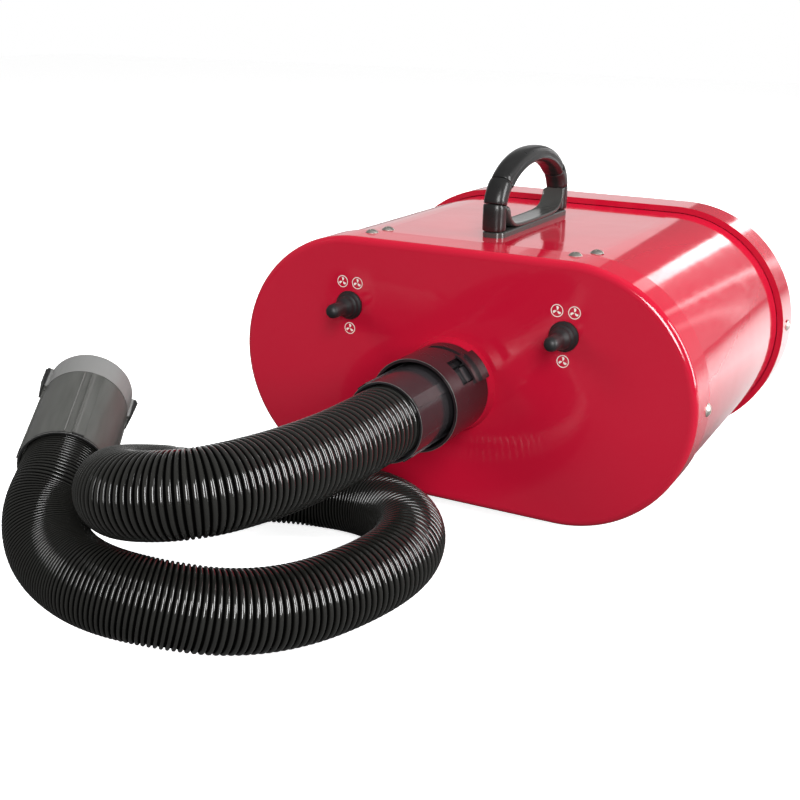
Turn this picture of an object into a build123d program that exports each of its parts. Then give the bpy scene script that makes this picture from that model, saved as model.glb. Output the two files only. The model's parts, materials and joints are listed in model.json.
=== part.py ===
from build123d import *
from math import cos, pi, radians, sin, tan
import os

# Pet dryer: a red obround housing with two blowers, a carry handle, two toggle
# switches and a long corrugated hose plugged into the front outlet.
# Lengths are millimetres. +X is right, +Y is towards the back, +Z is up.
# The origin is on the table, under the middle of the housing with its fixed fittings.

# ---------------------------------------------------------------- driving dimensions
FRONT_RADIUS = 90.0  # end radius of the front cover, half its height
HALF_STRAIGHT = 79.0  # from the middle of the housing to the centre of each round end
SHEET = 1.2  # pressed steel of the covers and the shell
COVER_GAP = 0.4  # between a cover's flange and the shell inside it
FRONT_DEPTH = 31.5  # depth of the front cover's flange
SHELL_RUN = 241.5  # front panel to the front edge of the rear cover
REAR_DEPTH = 35.5  # depth of the rear cover's rim
REAR_STEP = 5.0  # how far the rear cover stands proud of the shell
HOUSING_DROP = 12.0  # clearance between the front cover and the table
CORNER = 5.0  # rounded edge of the front cover
REAR_CORNER = 3.0

OUTLET_DROP = 3.5  # outlet centre below the housing's axis
BOSS_RADIUS = 33.8  # foot of the raised boss that carries the collar
BOSS_TOP_RADIUS = 31.6
BOSS_HEIGHT = 6.0
COLLAR_REACH = 54.0  # collar mouth in front of the front panel
COLLAR_MOUTH_RADIUS = 31.4
COLLAR_BASE_RADIUS = 30.8
COLLAR_MOUTH_BORE = 29.4
COLLAR_MOUTH_DEPTH = 27.5

CUFF_RADIUS = 26.3
CUFF_LENGTH = 86.0
CUFF_BORE = 22.0
CUFF_REACH = 92.3  # hose end of the near cuff in front of the front panel
RUNNING_CLEARANCE = 0.06
LUG_REACH = 4.0  # height of a latch lug above the cuff
LUG_WIDTH = 10.0
LUG_START = 1.0  # from the cuff's mouth
LUG_LENGTH = 20.0
LUG_ANGLE = 38.0  # from +X towards +Z, at rest

HOSE_RADIUS = 23.5
HOSE_WALL = 1.6
HOSE_INSET = 23.0  # length of hose inside a cuff

SWITCH_X = 79.7
SWITCH_RISE = 42.0  # above the housing's axis
LEVER_REACH = 24.0
PIVOT_DEPTH = 2.0  # lever pivot behind the front panel

HANDLE_Y = 4.0  # middle of the handle
HANDLE_HALF = 67.0
HANDLE_HEIGHT = 58.0
HANDLE_WIDTH = 15.0

MOTOR_CASE_RADIUS = 64.0
BULKHEAD_Y = 26.0
GLAND_REACH = 14.0

# ---------------------------------------------------------------- derived positions
AXIS_Z = HOUSING_DROP + FRONT_RADIUS
SHELL_RADIUS = FRONT_RADIUS - SHEET - COVER_GAP
REAR_RADIUS = SHELL_RADIUS + REAR_STEP
FRONT_Y = -(SHELL_RUN + REAR_DEPTH + GLAND_REACH - COLLAR_REACH) / 2
COVER_EDGE_Y = FRONT_Y + FRONT_DEPTH
RIM_Y = FRONT_Y + SHELL_RUN
REAR_Y = RIM_Y + REAR_DEPTH
SHELL_FRONT_Y = FRONT_Y + 6.5
SHELL_REAR_Y = REAR_Y - 8.0
SHELL_TOP = AXIS_Z + SHELL_RADIUS
SHELL_BOTTOM = AXIS_Z - SHELL_RADIUS
OUTLET_Z = AXIS_Z - OUTLET_DROP
BOSS_Y = FRONT_Y - BOSS_HEIGHT  # seat of the collar
SWITCH_Z = AXIS_Z + SWITCH_RISE
PIVOT_Y = FRONT_Y + PIVOT_DEPTH
SIDES = {"left": -1, "right": 1}


# ---------------------------------------------------------------- helpers
def plane_y(y, x=0.0, z=AXIS_Z):
    """Upright work plane facing the front, with its own x and y along +X and +Z."""
    return Plane(origin=(x, y, z), x_dir=(1, 0, 0), z_dir=(0, -1, 0))


def prism_y(outline, y0, y1, x=0.0, z=AXIS_Z):
    """Push a flat outline from y0 back to y1."""
    return extrude(plane_y(y1, x, z) * outline, amount=y1 - y0)


def rod_y(radius, y0, y1, x=0.0, z=AXIS_Z):
    return prism_y(Circle(radius), y0, y1, x, z)


def ring_y(outer, inner, y0, y1, x=0.0, z=AXIS_Z):
    return rod_y(outer, y0, y1, x, z) - rod_y(inner, y0 - 1, y1 + 1, x, z)


def cone_y(radius_front, radius_back, y0, y1, x=0.0, z=AXIS_Z):
    """Cone along Y, radius_front at y0 and radius_back at y1."""
    body = Cone(radius_front, radius_back, y1 - y0, align=(Align.CENTER, Align.CENTER, Align.MIN))
    return Location(Plane(origin=(x, y0, z), x_dir=(1, 0, 0), z_dir=(0, 1, 0))) * body


def rod_z(radius, z0, z1, x, y):
    body = Cylinder(radius, z1 - z0, align=(Align.CENTER, Align.CENTER, Align.MIN))
    return Location((x, y, z0)) * body


def block(x0, x1, y0, y1, z0, z1):
    body = Box(x1 - x0, y1 - y0, z1 - z0)
    return Location(((x0 + x1) / 2, (y0 + y1) / 2, (z0 + z1) / 2)) * body


def obround(radius):
    """Upright obround outline of the housing's family of sections."""
    return SlotOverall(2 * (HALF_STRAIGHT + radius), 2 * radius)


def obround_ring(outer, inner, y0, y1):
    return prism_y(obround(outer), y0, y1) - prism_y(obround(inner), y0 - 1, y1 + 1)


def save(name, *solids):
    """Write one node. Several solids are kept as separate bodies of one group."""
    bodies = []
    for item in solids:
        bodies.extend(item.solids())
    shape = bodies[0] if len(bodies) == 1 else Compound(children=bodies)
    shape.label = name
    export_step(shape, f"parts/{name}.step")


# ---------------------------------------------------------------- screws
SCREW_SHANK = 1.9
SCREW_HEAD = 4.6
SCREW_HEAD_HEIGHT = 2.4
SCREW_LENGTH = 9.0
REAR_SCREW_LENGTH = 8.0
SHELL_SCREW_LENGTH = 6.0


def pan_screw(plane, length=SCREW_LENGTH):
    """Round-head cross-slot screw. The plane lies on the seat and faces out of it."""
    head = Sphere(SCREW_HEAD * 1.25)
    head = Location((0, 0, SCREW_HEAD_HEIGHT - SCREW_HEAD * 1.25)) * head
    keep = Cylinder(SCREW_HEAD, SCREW_HEAD_HEIGHT, align=(Align.CENTER, Align.CENTER, Align.MIN))
    head = head & keep
    slot = Box(SCREW_HEAD * 1.1, 0.9, 1.2) + Box(0.9, SCREW_HEAD * 1.1, 1.2)
    head = head - Location((0, 0, SCREW_HEAD_HEIGHT - 0.4)) * slot
    shank = Cylinder(SCREW_SHANK, length, align=(Align.CENTER, Align.CENTER, Align.MAX))
    return plane.location * (head + shank)


def seat_top(x, y, z):
    return Plane(origin=(x, y, z), x_dir=(1, 0, 0), z_dir=(0, 0, 1))


def seat_bottom(x, y, z):
    return Plane(origin=(x, y, z), x_dir=(1, 0, 0), z_dir=(0, 0, -1))


def seat_side(side, x, y, z):
    return Plane(origin=(side * x, y, z), x_dir=(0, 1, 0), z_dir=(side, 0, 0))


COVER_SCREW_Y = FRONT_Y + 23.0
SHELL_SCREW_Y = FRONT_Y + 46.5
COVER_SCREW_X = 75.5
SIDE_SCREW_Y = FRONT_Y + 26.5
REAR_SCREW_Y = FRONT_Y + 258.0
REAR_SCREW_RISE = 5.0
SHELL_SCREW_X = {"left": -75.5, "right": 82.0}

FRONT_SEATS = [seat_top(side * COVER_SCREW_X, COVER_SCREW_Y, AXIS_Z + FRONT_RADIUS) for side in (-1, 1)]
FRONT_SEATS += [seat_bottom(side * COVER_SCREW_X, COVER_SCREW_Y, HOUSING_DROP) for side in (-1, 1)]
FRONT_SEATS += [seat_side(side, HALF_STRAIGHT + FRONT_RADIUS, SIDE_SCREW_Y, AXIS_Z) for side in (-1, 1)]
REAR_SEATS = [seat_bottom(side * COVER_SCREW_X, REAR_SCREW_Y, AXIS_Z - REAR_RADIUS) for side in (-1, 1)]
REAR_SEATS += [
    seat_side(side, HALF_STRAIGHT + REAR_RADIUS, REAR_SCREW_Y, AXIS_Z + REAR_SCREW_RISE) for side in (-1, 1)
]
SHELL_SEATS = [seat_top(x, SHELL_SCREW_Y, SHELL_TOP) for x in SHELL_SCREW_X.values()]
SHELL_SEATS += [seat_bottom(x, SHELL_SCREW_Y, SHELL_BOTTOM) for x in SHELL_SCREW_X.values()]


def drill(body, seats, radius=SCREW_SHANK + 0.1, depth=14.0):
    """Clear a hole for the screw of every seat."""
    for seat in seats:
        body = body - seat.location * Cylinder(radius, 2 * depth)
    return body


# ---------------------------------------------------------------- housing
HANDLE_SCREW_Y = [HANDLE_Y - 57.0, HANDLE_Y + 57.0]
FOOT_X = 62.0
FOOT_Y = [-50.0, 104.0]
FOOT_SPOTS = [(side * FOOT_X, y) for side in (-1, 1) for y in FOOT_Y]
GLAND_X = 0.0
GLAND_Z = 46.0
GLAND_HOLE = 8.0
GLAND_BORE = 4.5  # clears the mains lead


def boss_cone(inset):
    """Raised boss of the front panel. Taken again with an inset, it is the hollow behind it."""
    top = BOSS_TOP_RADIUS - inset
    foot_radius = BOSS_RADIUS - inset
    return cone_y(top, foot_radius, BOSS_Y + inset, FRONT_Y + SHEET, 0, OUTLET_Z)


def front_cover():
    outer = prism_y(obround(FRONT_RADIUS), FRONT_Y, COVER_EDGE_Y)
    outer = fillet(outer.faces().sort_by(Axis.Y)[0].edges(), CORNER)
    inner = prism_y(obround(FRONT_RADIUS - SHEET), FRONT_Y + SHEET, COVER_EDGE_Y + 1)
    inner = fillet(inner.faces().sort_by(Axis.Y)[0].edges(), CORNER - SHEET)
    cover = outer - inner
    cover = cover + boss_cone(0.0) - boss_cone(SHEET)
    cover = cover - rod_y(COLLAR_SPIGOT + 0.1, BOSS_Y - 1, FRONT_Y + 5, 0, OUTLET_Z)
    for side in SIDES.values():
        cover = cover - rod_y(BUSH_RADIUS + 0.1, FRONT_Y - 1, FRONT_Y + 5, side * SWITCH_X, SWITCH_Z)
    return drill(cover, FRONT_SEATS)


def body_shell():
    shell = obround_ring(SHELL_RADIUS, SHELL_RADIUS - SHEET, SHELL_FRONT_Y, SHELL_REAR_Y)
    shell = drill(shell, FRONT_SEATS + REAR_SEATS + SHELL_SEATS)
    for y in HANDLE_SCREW_Y:
        shell = shell - rod_z(2.6, SHELL_TOP - 5, SHELL_TOP + 5, 0, y)
    for x, y in FOOT_SPOTS:
        shell = shell - rod_z(2.1, SHELL_BOTTOM - 5, SHELL_BOTTOM + 5, x, y)
    return shell


def rear_cover():
    outer = prism_y(obround(REAR_RADIUS), RIM_Y, REAR_Y)
    outer = fillet(outer.faces().sort_by(Axis.Y)[-1].edges(), REAR_CORNER)
    inner = prism_y(obround(REAR_RADIUS - SHEET), RIM_Y + SHEET, REAR_Y - SHEET)
    cover = outer - inner - prism_y(obround(SHELL_RADIUS + COVER_GAP), RIM_Y - 1, RIM_Y + SHEET + 1)
    for side in SIDES.values():
        cover = cover - grille_slots(side * HALF_STRAIGHT)
    cover = cover - rod_y(GLAND_HOLE + 0.05, REAR_Y - 5, REAR_Y + 1, GLAND_X, GLAND_Z)
    return drill(cover, REAR_SEATS)


GRILLE_RADIUS = 60.0
GRILLE_PITCH = 9.0
GRILLE_SLOT = 4.5


def grille_slots(x):
    """Rows of level slots that fill a circle of the rear panel."""
    slots = []
    rows = int(GRILLE_RADIUS // GRILLE_PITCH)
    for row in range(-rows, rows + 1):
        rise = row * GRILLE_PITCH
        half = (GRILLE_RADIUS**2 - rise**2) ** 0.5
        if half < 10:
            continue
        for side in (-1, 1):
            width = half - 2.5
            centre = side * (half / 2 + 1.25)
            outline = Pos(centre, rise) * SlotOverall(width, GRILLE_SLOT)
            slots.append(prism_y(outline, REAR_Y - 5, REAR_Y + 1, x, AXIS_Z))
    return Compound(children=slots)


def rear_spacers():
    """Blocks that fill the step between the shell and the rear cover at each screw."""
    band = obround_ring(REAR_RADIUS - SHEET, SHELL_RADIUS, REAR_SCREW_Y - 8, REAR_SCREW_Y + 8)
    pads = []
    for seat in REAR_SEATS:
        pad = band & (seat.location * Box(16, 16, 24))
        pads.append(drill(pad, [seat]))
    return pads


def foot(x, y):
    body = Cone(10.5, 12.0, SHELL_BOTTOM, align=(Align.CENTER, Align.CENTER, Align.MIN))
    body = fillet(body.faces().sort_by(Axis.Z)[0].edges(), 1.5)
    body = Location((x, y, 0)) * body
    return body - rod_z(4.2, -1, 6.0, x, y) - rod_z(2.1, 5, SHELL_BOTTOM + 1, x, y)


def foot_screw(x, y):
    head = rod_z(4.0, 3.0, 6.0, x, y)
    return head + rod_z(1.9, 6.0, SHELL_BOTTOM + SHEET + 4.4, x, y)


def foot_nut(x, y):
    base = SHELL_BOTTOM + SHEET
    return Location((x, y, base)) * (extrude(RegularPolygon(4.0, 6), amount=3.2)) - rod_z(1.9, 0, 40, x, y)


# ---------------------------------------------------------------- outlet collar
COLLAR_SPIGOT = 27.8
COLLAR_NUT_WIDTH = 10.0
COLLAR_FLOOR = 4.0  # distance of the cuff's stop in front of the front panel
WINDOW_START = 22.5  # all in front of the front panel
WINDOW_END = 38.5
WINDOW_FROM = 27.0
WINDOW_TO = 61.0
GROOVE_START = 15.5
GROOVE_END = 21.5
GROOVE_DEPTH = 0.9
GROOVE_TO = 104.0
BLOCK_START = BOSS_HEIGHT
BLOCK_END = 16.0
BLOCK_RADIUS = 33.9
SHOULDER_RADIUS = 32.2
POCKET_RADIUS = 30.7  # clears the tip of a lug
BLOCK_FROM = 22.0
BLOCK_TO = 58.0


def outlet_collar():
    """Socket on the boss that the cuff plugs into, with two latch windows and two stop blocks."""
    mouth_y = FRONT_Y - COLLAR_REACH
    stop_y = FRONT_Y - COLLAR_FLOOR
    body = cone_y(COLLAR_MOUTH_RADIUS, COLLAR_BASE_RADIUS, mouth_y, BOSS_Y, 0, OUTLET_Z)
    body = body + rod_y(COLLAR_SPIGOT, BOSS_Y - 1, BOSS_Y + 16, 0, OUTLET_Z)
    for turn in (0, 180):
        body = body + arc_band(BLOCK_RADIUS, BLOCK_FROM + turn, BLOCK_TO + turn, BLOCK_START, BLOCK_END)
        body = body + arc_band(SHOULDER_RADIUS, BLOCK_FROM + turn, WINDOW_TO + turn + 3, BLOCK_END, WINDOW_START)
    body = body - rod_y(CUFF_RADIUS + RUNNING_CLEARANCE, mouth_y - 1, stop_y, 0, OUTLET_Z)
    body = body - rod_y(COLLAR_MOUTH_BORE, mouth_y - 1, mouth_y + COLLAR_MOUTH_DEPTH, 0, OUTLET_Z)
    body = body - rod_y(CUFF_BORE, mouth_y, FRONT_Y + 20, 0, OUTLET_Z)
    for turn in (0, 180):
        window = arc_band(BLOCK_RADIUS + 1, WINDOW_FROM + turn, WINDOW_TO + turn, WINDOW_START, WINDOW_END)
        groove = arc_band(BLOCK_RADIUS + 1, WINDOW_TO + turn, GROOVE_TO + turn, GROOVE_START, GROOVE_END)
        groove = groove - rod_y(COLLAR_BASE_RADIUS - GROOVE_DEPTH, mouth_y, BOSS_Y, 0, OUTLET_Z)
        pocket = arc_band(POCKET_RADIUS, WINDOW_FROM + turn, WINDOW_TO + turn, COLLAR_FLOOR, WINDOW_START + 1)
        body = body - window - groove - pocket
    return body


def arc_band(radius, start, end, near, far):
    """Curved block round the outlet, between two distances in front of the front panel."""
    return prism_y(sector(radius, start, end), FRONT_Y - far, FRONT_Y - near, 0, OUTLET_Z)


def sector(radius, start, end):
    """Pie slice of a circle between two angles in degrees, for spans under 90."""
    far = radius * 1.5
    outline = Polyline((0, 0), (far * cos(radians(start)), far * sin(radians(start))),
                       (far * cos(radians(end)), far * sin(radians(end))), (0, 0))
    return make_face(outline) & Circle(radius)


def collar_nut():
    """Threaded ring that clamps the collar to the front panel from inside."""
    y0 = FRONT_Y + SHEET
    outer = COLLAR_SPIGOT + COLLAR_NUT_WIDTH
    ring = ring_y(outer, COLLAR_SPIGOT, y0, y0 + 5.0, 0, OUTLET_Z)
    for k in range(8):
        turn = radians(45 * k)
        ring = ring - rod_y(2.0, y0 - 1, y0 + 6, outer * cos(turn), OUTLET_Z + outer * sin(turn))
    return ring


# ---------------------------------------------------------------- hose cuffs
STRIP_COUNT = 4
STRIP_WIDTH = 7.0
STRIP_HEIGHT = 0.7
RECESS_DEPTH = 8.0  # wider mouth round the hose
SEAM = 64.5  # from the hose end to the smooth mouth part


def cuff(lug_angle):
    """Cuff along its own +Z, hose end at zero and mouth at CUFF_LENGTH."""
    up = (Align.CENTER, Align.CENTER, Align.MIN)
    body = Cylinder(CUFF_RADIUS, CUFF_LENGTH, align=up)
    body = fillet(body.faces().sort_by(Axis.Z)[-1].edges(), 1.0)
    for k in range(STRIP_COUNT):
        strip = Box(2 * STRIP_HEIGHT, STRIP_WIDTH, SEAM, align=up)
        strip = Location((CUFF_RADIUS, 0, 0)) * strip
        body = body + Rot(0, 0, 90 * k + lug_angle) * strip
    body = body - Location((0, 0, SEAM)) * ring_z(CUFF_RADIUS + 2, CUFF_RADIUS - 0.4, 1.0)
    for turn in (0, 180):
        body = body + Rot(0, 0, turn + lug_angle) * lug()
    body = body - Cylinder(CUFF_BORE, CUFF_LENGTH + 1, align=up)
    body = body - Cylinder(HOSE_RADIUS + RUNNING_CLEARANCE, HOSE_INSET + 1, align=up)
    body = body - Cylinder(CUFF_RADIUS - 1.3, RECESS_DEPTH, align=up)
    for turn in (0, 180):
        body = body - Rot(0, 0, turn + lug_angle) * spring_slot()
    return body


def ring_z(outer, inner, height):
    up = (Align.CENTER, Align.CENTER, Align.MIN)
    return Cylinder(outer, height, align=up) - Cylinder(inner, height, align=up)


def lug():
    """Latch lug on the outside of the cuff, steep towards the mouth."""
    top = CUFF_LENGTH - LUG_START
    low = top - LUG_LENGTH
    root = CUFF_RADIUS - 1.5
    tip = CUFF_RADIUS + LUG_REACH
    side = Polyline((root, low), (tip - 2.0, low), (tip, top - 3), (tip - 1.5, top), (root, top), (root, low))
    face = Plane.XZ * make_face(side)
    return extrude(face, amount=LUG_WIDTH / 2, both=True)


def spring_slot():
    """Thin slots either side of a lug that leave it on a springy tongue."""
    low = CUFF_LENGTH - LUG_START - LUG_LENGTH - 3
    slots = Location((CUFF_RADIUS, 0, low)) * Box(10, LUG_WIDTH + 4.4, 1.2)
    for side in (-1, 1):
        arm = Box(10, 1.2, LUG_LENGTH, align=(Align.CENTER, Align.CENTER, Align.MIN))
        slots = slots + Location((CUFF_RADIUS, side * (LUG_WIDTH / 2 + 1.6), low)) * arm
    return slots


# ---------------------------------------------------------------- hose
FAR_RIM = (-139.3, -342.9, 84.5)  # hose end of the far cuff
FAR_AXIS = (-0.49, 0.833, 0.258)  # from the hose end to the mouth
FAR_ROLL = 25.0  # angle of a lug above the level, round the far cuff's axis


def unit(vector):
    return Vector(*vector).normalized()


def far_point(along):
    """Point on the far cuff's axis, measured from its hose end."""
    point = Vector(*FAR_RIM) + unit(FAR_AXIS) * along
    return (point.X, point.Y, point.Z)


FLOOR_Z = HOSE_RADIUS + 0.2  # axis of the hose where it lies on the table
ROUTE = [
    (0.0, FRONT_Y - CUFF_REACH + HOSE_INSET, OUTLET_Z),
    (0.0, -245.0, OUTLET_Z),
    (-1.0, -292.0, 100.6),
    (-5.0, -338.0, 104.5),
    (-19.0, -374.0, 105.5),
    (-57.0, -385.0, 100.0),
    (-88.0, -358.0, 90.0),
    (-91.0, -308.0, 73.0),
    (-145.0, -250.0, 43.0),
    (-90.4, -176.8, FLOOR_Z),
    (-28.8, -166.9, FLOOR_Z),
    (15.0, -194.6, FLOOR_Z),
    (30.3, -252.7, FLOOR_Z),
    (1.2, -343.0, 26.0),
    (-60.2, -391.0, 44.0),
    (-108.0, -385.5, 49.5),
    (-131.0, -370.5, 66.5),
    far_point(-6.0),
    far_point(HOSE_INSET),
]


def corner_radii():
    """Arc radius at each inner point of the route, from the runs and the turn beside it."""
    radii = []
    for before, here, after in zip(ROUTE, ROUTE[1:], ROUTE[2:]):
        run_in = Vector(*here) - Vector(*before)
        run_out = Vector(*after) - Vector(*here)
        turn = radians(run_in.get_angle(run_out))
        radii.append(0.45 * min(run_in.length, run_out.length) / tan(turn / 2))
    return radii


def hose_tube():
    radii = corner_radii()
    path = FilletPolyline(*ROUTE, radius=radii)
    start = Plane(origin=ROUTE[0], z_dir=Vector(*ROUTE[1]) - Vector(*ROUTE[0]))
    tube = sweep(start * Circle(HOSE_RADIUS), path=path) - sweep(start * Circle(HOSE_RADIUS - HOSE_WALL), path=path)
    section = pi * (HOSE_RADIUS**2 - (HOSE_RADIUS - HOSE_WALL) ** 2)
    print("hose corner radii", [round(r, 1) for r in radii])
    print("hose length", round(path.length, 1), "volume ratio", round(tube.volume / (section * path.length), 4))
    return tube


def near_cuff():
    """Cuff plugged into the collar. Its local x axis is +X, so the lug angle is turned over."""
    plane = Plane(origin=(0, FRONT_Y - CUFF_REACH, OUTLET_Z), x_dir=(1, 0, 0), z_dir=(0, 1, 0))
    return plane.location * cuff(-LUG_ANGLE)


def far_cuff():
    level = Vector(0, 0, 1).cross(unit(FAR_AXIS))
    plane = Plane(origin=FAR_RIM, x_dir=level, z_dir=unit(FAR_AXIS))
    return plane.location * cuff(FAR_ROLL)


# ---------------------------------------------------------------- handle
HANDLE_BASE_HEIGHT = 4.0
HANDLE_BASE_WIDTH = 17.0
HANDLE_SPRING = 18.0  # height where the legs start to curve
HANDLE_LEG = 15.0  # leg thickness along Y
HANDLE_TOP = 12.0  # thickness of the bow at the top
HANDLE_ROUND = 3.6
HANDLE_SPLIT = 24.0  # height of the joint between the legs and the bow
GRIP_HALF = 40.0
GRIP_DEPTH = 1.2
SIDE_PLANE = Plane(origin=(0, HANDLE_Y, SHELL_TOP), x_dir=(0, 1, 0), z_dir=(1, 0, 0))


def bow_outline(half, rise):
    """Side outline of an arch: straight legs that run into half an ellipse."""
    arch = Pos(0, HANDLE_SPRING) * Ellipse(half, rise)
    legs = Pos(0, HANDLE_SPRING / 2) * Rectangle(2 * half, HANDLE_SPRING)
    return (arch + legs) & (Pos(0, 100) * Rectangle(400, 200))


def handle_solid():
    rise = HANDLE_HEIGHT - HANDLE_SPRING
    outer = extrude(SIDE_PLANE * bow_outline(HANDLE_HALF, rise), amount=HANDLE_WIDTH / 2, both=True)
    outer = fillet(outer.edges().filter_by(lambda e: e.center().Z > SHELL_TOP + 0.5), HANDLE_ROUND)
    gap = bow_outline(HANDLE_HALF - HANDLE_LEG, rise - HANDLE_TOP)
    body = outer - extrude(SIDE_PLANE * gap, amount=HANDLE_WIDTH, both=True)
    return body - block(-30, 30, HANDLE_Y - 90, HANDLE_Y + 90, SHELL_TOP - 1, SHELL_TOP + HANDLE_BASE_HEIGHT)


def handle_base():
    """Flat plate on the shell that both legs stand on."""
    outline = RectangleRounded(HANDLE_BASE_WIDTH, 2 * HANDLE_HALF - 4, HANDLE_BASE_WIDTH / 2 - 1.5)
    plate = extrude(Plane(origin=(0, HANDLE_Y, SHELL_TOP)) * outline, amount=HANDLE_BASE_HEIGHT)
    plate = fillet(plate.faces().sort_by(Axis.Z)[-1].edges(), 1.5)
    for y in HANDLE_SCREW_Y:
        plate = plate - rod_z(2.1, SHELL_TOP - 1, SHELL_TOP + 10, 0, y)
    return plate


def split_box(low, high):
    return block(-30, 30, HANDLE_Y - 90, HANDLE_Y + 90, SHELL_TOP + low, SHELL_TOP + high)


def handle_legs():
    legs = handle_solid() & split_box(0, HANDLE_SPLIT)
    for y in HANDLE_SCREW_Y:
        legs = legs - rod_z(2.0, SHELL_TOP, SHELL_TOP + 16, 0, y)
    return legs


def grip_band():
    """Space of the two soft pads let into the sides of the bow."""
    rise = HANDLE_HEIGHT - HANDLE_SPRING
    band = bow_outline(HANDLE_HALF - 5.0, rise - 4.6) - bow_outline(HANDLE_HALF - 10.4, rise - 7.8)
    band = band & (Pos(0, 60) * Rectangle(2 * GRIP_HALF, 80))
    pads = extrude(SIDE_PLANE * band, amount=HANDLE_WIDTH / 2, both=True)
    return pads - block(-HANDLE_WIDTH / 2 + GRIP_DEPTH, HANDLE_WIDTH / 2 - GRIP_DEPTH, -90, 90, 150, 300)


def handle_bow():
    return (handle_solid() & split_box(HANDLE_SPLIT, 80)) - grip_band()


def handle_screw(y):
    """Screw from inside the shell up into a leg."""
    head = rod_z(4.4, SHELL_TOP - SHEET - 3.0, SHELL_TOP - SHEET, 0, y)
    return head + rod_z(2.0, SHELL_TOP - SHEET, SHELL_TOP + 14, 0, y)


# ---------------------------------------------------------------- toggle switches
BUSH_RADIUS = 5.9
BALL_RADIUS = 3.95
LEVER_RADIUS = 2.2


def switch_body(x):
    y0 = PIVOT_Y + 4.2
    case = block(x - 7.5, x + 7.5, y0, y0 + 22, SWITCH_Z - 14, SWITCH_Z + 14)
    for rise in (-8, 0, 8):
        case = case + block(x - 3.0, x + 3.0, y0 + 22, y0 + 29, SWITCH_Z + rise - 0.4, SWITCH_Z + rise + 0.4)
    return case


def switch_bush(x):
    return ring_y(BUSH_RADIUS, BALL_RADIUS + 0.05, FRONT_Y - 2.2, PIVOT_Y + 4.2, x, SWITCH_Z)


def switch_nut(x):
    hexagon = prism_y(RegularPolygon(8.0, 6), FRONT_Y - 2.0, FRONT_Y, x, SWITCH_Z)
    return hexagon - rod_y(BUSH_RADIUS, FRONT_Y - 3, FRONT_Y + 1, x, SWITCH_Z)


def boot_ring(x):
    ring = rod_y(9.6, FRONT_Y - 4.5, FRONT_Y, x, SWITCH_Z)
    ring = fillet(ring.faces().sort_by(Axis.Y)[0].edges(), 1.2)
    return ring - rod_y(8.3, FRONT_Y - 6, FRONT_Y + 1, x, SWITCH_Z)


def switch_lever(x):
    ball = Location((x, PIVOT_Y, SWITCH_Z)) * Sphere(BALL_RADIUS)
    return ball + rod_y(LEVER_RADIUS, FRONT_Y - LEVER_REACH + 3, PIVOT_Y, x, SWITCH_Z)


def lever_sleeve(x):
    """Rubber sleeve of the boot, narrow at the tip."""
    waist = FRONT_Y - 14.0
    tip = FRONT_Y - LEVER_REACH
    cap = rod_y(4.1, tip, waist, x, SWITCH_Z)
    cap = fillet(cap.faces().sort_by(Axis.Y)[0].edges(), 3.0)
    skirt = cone_y(4.1, 6.4, waist, FRONT_Y - 5.2, x, SWITCH_Z)
    return cap + skirt - rod_y(LEVER_RADIUS, tip + 3, FRONT_Y, x, SWITCH_Z)


# ---------------------------------------------------------------- blowers
SHAFT_RADIUS = 4.0
FAN_FRONT_Y = BULKHEAD_Y + 2.0
FAN_REAR_Y = FAN_FRONT_Y + 44.0
MOTOR_RADIUS = 41.0
MOTOR_FRONT_Y = -36.0
CORE_Y = (-14.0, 16.0)


def fan_case(x):
    """Drum round the impellers, open at the eye and towards the motor."""
    drum = rod_y(MOTOR_CASE_RADIUS, FAN_FRONT_Y, FAN_REAR_Y, x)
    drum = drum - rod_y(MOTOR_CASE_RADIUS - 1.2, FAN_FRONT_Y + 1.2, FAN_REAR_Y - 1.2, x)
    drum = drum - rod_y(18.0, FAN_REAR_Y - 3, FAN_REAR_Y + 1, x)
    return drum - rod_y(36.0, FAN_FRONT_Y - 1, FAN_FRONT_Y + 3, x)


def impeller(x, y0):
    """Closed wheel: back plate, blades and front plate with an eye, on a hub."""
    wheel = ring_y(58.0, SHAFT_RADIUS, y0, y0 + 1.2, x)
    wheel = wheel + ring_y(58.0, 20.0, y0 + 13.0, y0 + 14.2, x)
    wheel = wheel + ring_y(9.0, SHAFT_RADIUS, y0, y0 + 10.0, x)
    for k in range(7):
        blade = block(22, 56, y0 + 0.6, y0 + 13.6, AXIS_Z - 0.6, AXIS_Z + 0.6)
        wheel = wheel + Location((x, 0, 0)) * blade.rotate(Axis((0, 0, AXIS_Z), (0, 1, 0)), 360 * k / 7)
    return wheel


def guide_plate(x):
    """Fixed plate between the two wheels, with its return hole."""
    return ring_y(MOTOR_CASE_RADIUS - 1.2, 14.0, FAN_FRONT_Y + 20.6, FAN_FRONT_Y + 22.0, x)


def motor_frame(x):
    """Cage round the stator with four posts and a ring at each end."""
    cage = ring_y(MOTOR_RADIUS, MOTOR_RADIUS - 2.5, MOTOR_FRONT_Y, BULKHEAD_Y, x)
    for turn in (0, 90, 180, 270):
        window = block(x - 16, x + 16, MOTOR_FRONT_Y + 8, CORE_Y[0] - 3, AXIS_Z, AXIS_Z + 60)
        cage = cage - window.rotate(Axis((x, 0, AXIS_Z), (0, 1, 0)), turn)
    cage = cage + front_spider(x)
    flange = ring_y(MOTOR_RADIUS + 7, MOTOR_RADIUS - 2.5, BULKHEAD_Y - 2.5, BULKHEAD_Y, x)
    return cage + flange + rear_spider(x)


def spider(x, y0, y1):
    arms = ring_y(14.0, 11.0, y0, y1, x)
    for turn in (0, 90):
        arm = block(x - MOTOR_RADIUS + 1, x + MOTOR_RADIUS - 1, y0, y1, AXIS_Z - 4, AXIS_Z + 4)
        arms = arms + arm.rotate(Axis((x, 0, AXIS_Z), (0, 1, 0)), turn)
    return arms - rod_y(11.0, y0 - 1, y1 + 1, x)


def front_spider(x):
    return spider(x, MOTOR_FRONT_Y, MOTOR_FRONT_Y + 6)


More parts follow.
